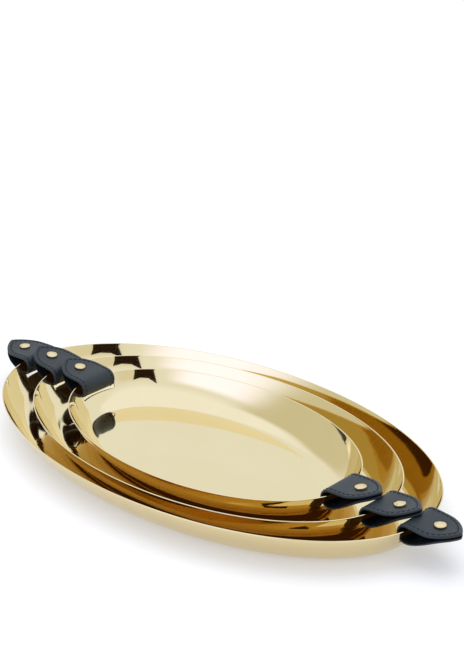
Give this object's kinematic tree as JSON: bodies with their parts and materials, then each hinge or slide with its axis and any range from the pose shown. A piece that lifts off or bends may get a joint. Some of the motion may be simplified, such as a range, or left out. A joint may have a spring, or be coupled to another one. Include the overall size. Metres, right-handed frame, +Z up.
{
  "type": "nested serving tray set",
  "caption": "Nest of shallow oval brass serving trays with flared, curved walls and thin rims; each end carries a leather loop handle, folded through a slot below the rim and closed by a brass rivet.",
  "frame": {"origin": "on the table under the middle of the large tray", "axes": "+X along the trays towards one pair of handles, +Z up"},
  "size_m": [0.487, 0.244, 0.0384],
  "materials": {
    "brass_sheet": "mirror polished",
    "rivet_brass": "polished",
    "navy_leather": "smooth grain, soft sheen",
    "navy_lining": "smooth grain, matt"
  },
  "bodies": {
    "large_tray": {"large_tray_dish": "brass_sheet"},
    "large_left_handle": {"large_left_leather_strap": "navy_leather", "large_left_leather_lining": "navy_lining", "large_left_rivet_cap": "rivet_brass", "large_left_rivet_post": "rivet_brass"},
    "large_right_handle": {"large_right_leather_strap": "navy_leather", "large_right_leather_lining": "navy_lining", "large_right_rivet_cap": "rivet_brass", "large_right_rivet_post": "rivet_brass"},
    "medium_tray": {"medium_tray_dish": "brass_sheet"},
    "medium_left_handle": {"medium_left_leather_strap": "navy_leather", "medium_left_leather_lining": "navy_lining", "medium_left_rivet_cap": "rivet_brass", "medium_left_rivet_post": "rivet_brass"},
    "medium_right_handle": {"medium_right_leather_strap": "navy_leather", "medium_right_leather_lining": "navy_lining", "medium_right_rivet_cap": "rivet_brass", "medium_right_rivet_post": "rivet_brass"},
    "small_tray": {"small_tray_dish": "brass_sheet"},
    "small_left_handle": {"small_left_leather_strap": "navy_leather", "small_left_leather_lining": "navy_lining", "small_left_rivet_cap": "rivet_brass", "small_left_rivet_post": "rivet_brass"},
    "small_right_handle": {"small_right_leather_strap": "navy_leather", "small_right_leather_lining": "navy_lining", "small_right_rivet_cap": "rivet_brass", "small_right_rivet_post": "rivet_brass"}
  },
  "joints": [
    {"name": "medium_tray_lift", "type": "slide", "parent": "large_tray", "child": "medium_tray", "axis": [0, 0, 1], "range_m": [0, 0.1]},
    {"name": "small_tray_lift", "type": "slide", "parent": "medium_tray", "child": "small_tray", "axis": [0, 0, 1], "range_m": [0, 0.1]},
    {"name": "large_left_handle_swing", "type": "hinge", "parent": "large_tray", "child": "large_left_handle", "pos_m": [-0.20714, 0, 0.02485], "axis": [0, 1, 0], "range_deg": [0, 18]},
    {"name": "large_right_handle_swing", "type": "hinge", "parent": "large_tray", "child": "large_right_handle", "pos_m": [0.20714, 0, 0.02485], "axis": [0, -1, 0], "range_deg": [0, 18]},
    {"name": "medium_left_handle_swing", "type": "hinge", "parent": "medium_tray", "child": "medium_left_handle", "pos_m": [-0.17242, 0, 0.02515], "axis": [0, 1, 0], "range_deg": [0, 18]},
    {"name": "medium_right_handle_swing", "type": "hinge", "parent": "medium_tray", "child": "medium_right_handle", "pos_m": [0.17242, 0, 0.02515], "axis": [0, -1, 0], "range_deg": [0, 18]},
    {"name": "small_left_handle_swing", "type": "hinge", "parent": "small_tray", "child": "small_left_handle", "pos_m": [-0.13612, 0, 0.02585], "axis": [0, 1, 0], "range_deg": [0, 70]},
    {"name": "small_right_handle_swing", "type": "hinge", "parent": "small_tray", "child": "small_right_handle", "pos_m": [0.13612, 0, 0.02585], "axis": [0, -1, 0], "range_deg": [0, 70]}
  ]
}
